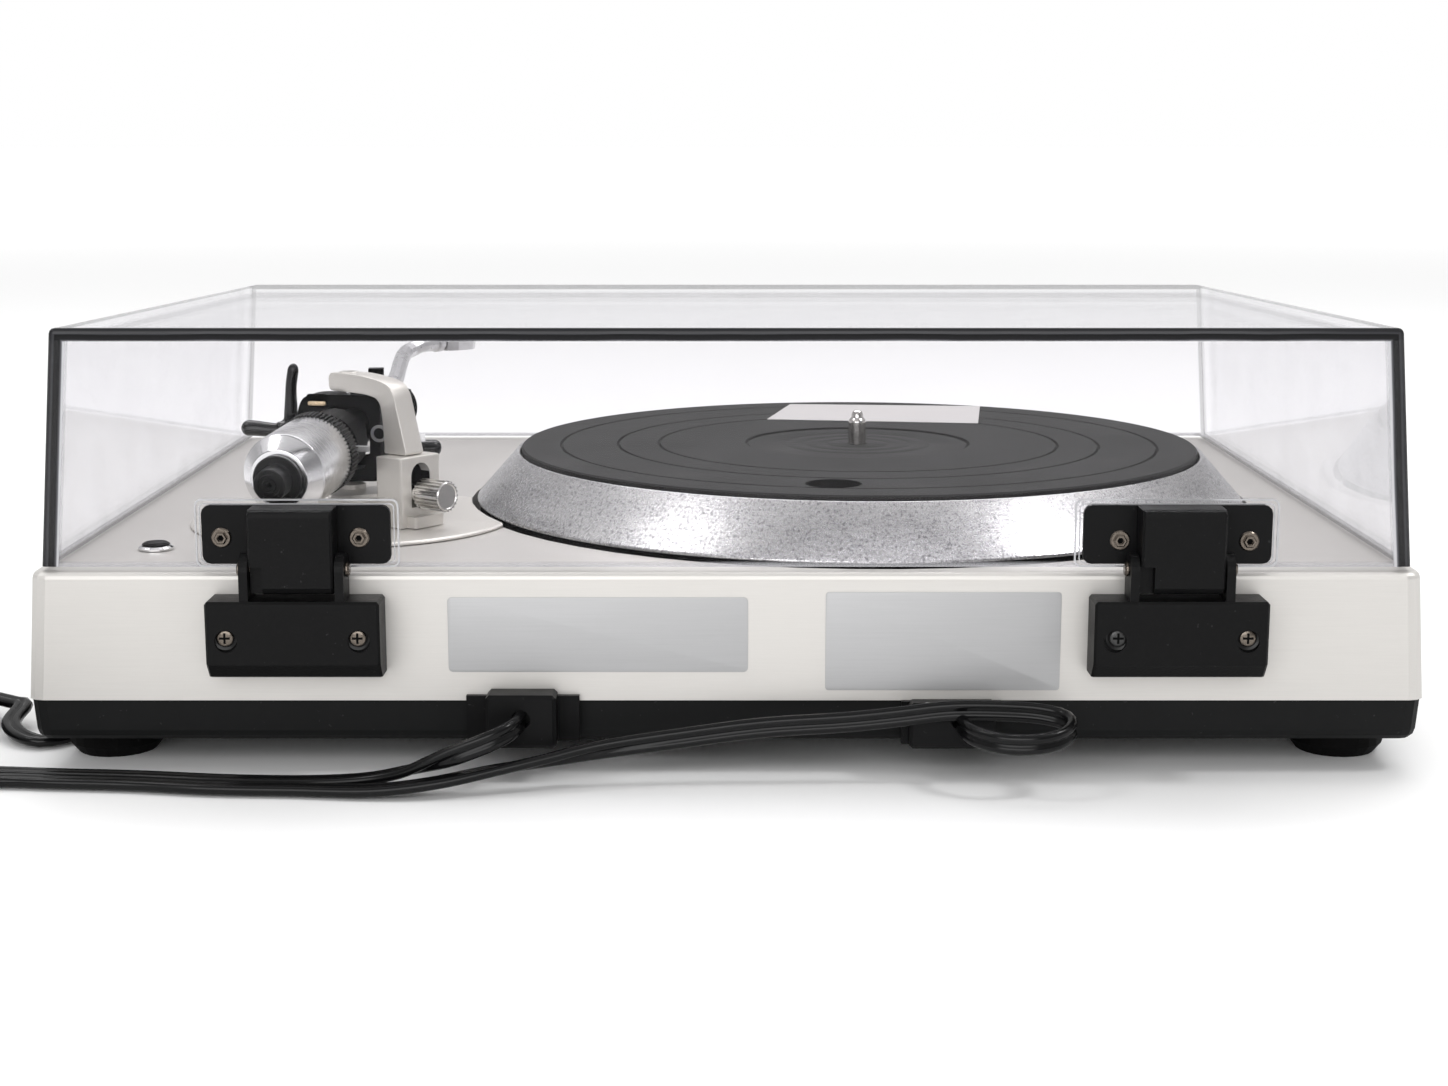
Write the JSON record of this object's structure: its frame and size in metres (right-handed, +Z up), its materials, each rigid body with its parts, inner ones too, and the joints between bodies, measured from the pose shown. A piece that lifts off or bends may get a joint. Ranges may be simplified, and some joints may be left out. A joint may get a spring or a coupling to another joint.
{
  "type": "automatic turntable",
  "caption": "Automatic direct-drive turntable with a clear hinged dust cover, an S-shaped tonearm on a gimbal and put-away leads",
  "frame": {"origin": "Bottom centre of the turntable's own box, on the plane of the four feet", "axes": "+Z up, the controls face -Y, the hinges and leads are at +Y, the tonearm is at +X"},
  "size_m": [0.6543, 0.5117, 0.1529],
  "materials": {
    "silver_paint": "champagne silver satin paint",
    "black_plastic": "fine satin black",
    "cast_aluminium": "turned cast aluminium",
    "bright_metal": "bright plated metal",
    "black_rubber": "matt moulded rubber",
    "clear_acrylic": "clear polished acrylic",
    "cord_vinyl": "smooth black vinyl"
  },
  "bodies": {
    "chassis": {"cabinet": "silver_paint", "bottom_tray": "black_plastic", "foot_rear_left": "black_rubber", "foot_rear_right": "black_rubber", "foot_front_left": "black_rubber", "foot_front_right": "black_rubber", "hinge_block_left": "black_plastic", "hinge_block_right": "black_plastic", "hinge_pin_left": "bright_metal", "hinge_pin_right": "bright_metal", "phono_cord_clamp": "black_plastic", "mains_cord_clip": "black_plastic", "arm_plateau": "silver_paint", "arm_base": "silver_paint", "arm_yoke": "silver_paint", "arm_rest": "black_plastic", "lift_housing": "black_plastic", "headshell_socket": "bright_metal", "socket_cap": "black_plastic", "motor_stator": "black_plastic", "bearing_housing": "bright_metal", "power_transformer": "bright_metal", "control_board": "black_plastic", "phono_cord": "cord_vinyl", "phono_cord_coil": "cord_vinyl", "phono_cord_tail": "cord_vinyl", "phono_plug_1": "bright_metal", "phono_plug_2": "bright_metal", "mains_cord": "cord_vinyl", "mains_cord_coil": "cord_vinyl", "mains_plug": "black_plastic"},
    "lid": {"dust_cover": "clear_acrylic", "hinge_plate_left": "black_plastic", "hinge_plate_right": "black_plastic", "hinge_cover_left": "black_plastic", "hinge_cover_right": "black_plastic"},
    "rotor": {"platter": "cast_aluminium", "platter_mat": "black_rubber", "spindle": "bright_metal", "rotor_magnet": "bright_metal"},
    "gimbal": {"gimbal_ring": "black_plastic"},
    "tonearm": {"arm_hub": "black_plastic", "arm_tube": "bright_metal", "headshell_collar": "bright_metal", "headshell": "bright_metal"},
    "weight_carrier": {"counterweight_sleeve": "black_plastic"},
    "weight": {"counterweight": "bright_metal"},
    "force_dial": {"tracking_dial": "black_plastic"},
    "skate_dial": {"anti_skate_dial": "black_plastic"},
    "cue": {"cue_lever": "black_plastic"},
    "lift": {"arm_lift": "bright_metal"},
    "height_knob": {"height_lock_knob": "bright_metal"},
    "arm_lock": {"arm_lock_lever": "black_plastic"},
    "power": {"power_button": "black_plastic"},
    "speed_33": {"speed_33_button": "black_plastic"},
    "speed_45": {"speed_45_button": "black_plastic"},
    "start": {"start_button": "black_plastic"},
    "stop": {"stop_button": "black_plastic"},
    "pitch": {"pitch_dial": "black_plastic"}
  },
  "joints": [
    {"name": "lid_hinge", "type": "hinge", "parent": "chassis", "child": "lid", "pos_m": [0, 0.1883, 0.0734], "axis": [-1, 0, 0], "range_deg": [0, 60]},
    {"name": "platter_spin", "type": "hinge", "parent": "chassis", "child": "rotor", "pos_m": [-0.0536, 0.0156, 0.0704], "axis": [0, 0, -1], "continuous": true},
    {"name": "arm_swing", "type": "hinge", "parent": "chassis", "child": "gimbal", "pos_m": [0.1435, 0.0761, 0.1054], "axis": [0, 0, -1], "range_deg": [0, 48]},
    {"name": "arm_tilt", "type": "hinge", "parent": "gimbal", "child": "tonearm", "pos_m": [0.1435, 0.0761, 0.1054], "axis": [-0.9871, 0.1599, 0], "range_deg": [-3.2, 3.5]},
    {"name": "weight_travel", "type": "slide", "parent": "tonearm", "child": "weight_carrier", "axis": [0.1592, 0.9832, -0.0889], "range_m": [-0.003, 0.003]},
    {"name": "weight_turn", "type": "hinge", "parent": "weight_carrier", "child": "weight", "pos_m": [0.15226, 0.13018, 0.10051], "axis": [0.1592, 0.9832, -0.0889], "range_deg": [-180, 180]},
    {"name": "force_dial_turn", "type": "hinge", "parent": "weight_carrier", "child": "force_dial", "pos_m": [0.14907, 0.11051, 0.10229], "axis": [0.1592, 0.9832, -0.0889], "range_deg": [-180, 180]},
    {"name": "skate_dial_turn", "type": "hinge", "parent": "chassis", "child": "skate_dial", "pos_m": [0.12344, 0.08503, 0.1156], "axis": [-0.6004, -0.7997, 0], "range_deg": [0, 270]},
    {"name": "cue_turn", "type": "hinge", "parent": "chassis", "child": "cue", "pos_m": [0.1758, 0.0501, 0.0904], "axis": [1, 0, 0], "range_deg": [0, 45]},
    {"name": "lift_travel", "type": "slide", "parent": "chassis", "child": "lift", "axis": [0, 0, 1], "range_m": [0, 0.0018]},
    {"name": "height_knob_turn", "type": "hinge", "parent": "chassis", "child": "height_knob", "pos_m": [0.11295, 0.09904, 0.0846], "axis": [-0.7997, 0.6004, 0], "range_deg": [-90, 90]},
    {"name": "arm_lock_turn", "type": "hinge", "parent": "chassis", "child": "arm_lock", "pos_m": [0.1703, 0.0666, 0.096], "axis": [0, 0, 1], "range_deg": [0, 30]},
    {"name": "power_press", "type": "slide", "parent": "chassis", "child": "power", "axis": [0, 0.2259, -0.9742], "range_m": [0, 0.0018], "stiffness_N_per_m": 600},
    {"name": "speed_33_press", "type": "slide", "parent": "chassis", "child": "speed_33", "axis": [0, 0.2259, -0.9742], "range_m": [0, 0.0018], "stiffness_N_per_m": 600},
    {"name": "speed_45_press", "type": "slide", "parent": "chassis", "child": "speed_45", "axis": [0, 0.2259, -0.9742], "range_m": [0, 0.0018], "stiffness_N_per_m": 600},
    {"name": "start_press", "type": "slide", "parent": "chassis", "child": "start", "axis": [0, 0.2259, -0.9742], "range_m": [0, 0.0018], "stiffness_N_per_m": 600},
    {"name": "stop_press", "type": "slide", "parent": "chassis", "child": "stop", "axis": [0, 0.2259, -0.9742], "range_m": [0, 0.0018], "stiffness_N_per_m": 600},
    {"name": "pitch_turn", "type": "hinge", "parent": "chassis", "child": "pitch", "pos_m": [-0.062, -0.17765, 0.0539], "axis": [0, -0.2259, 0.9742], "range_deg": [-135, 135]}
  ],
  "couplings": [
    {"joint": "weight_travel", "follows": "weight_turn", "m_per_rad": 0.0009549},
    {"joint": "cue_turn", "follows": "lift_travel", "rad_per_m": 434.15}
  ]
}
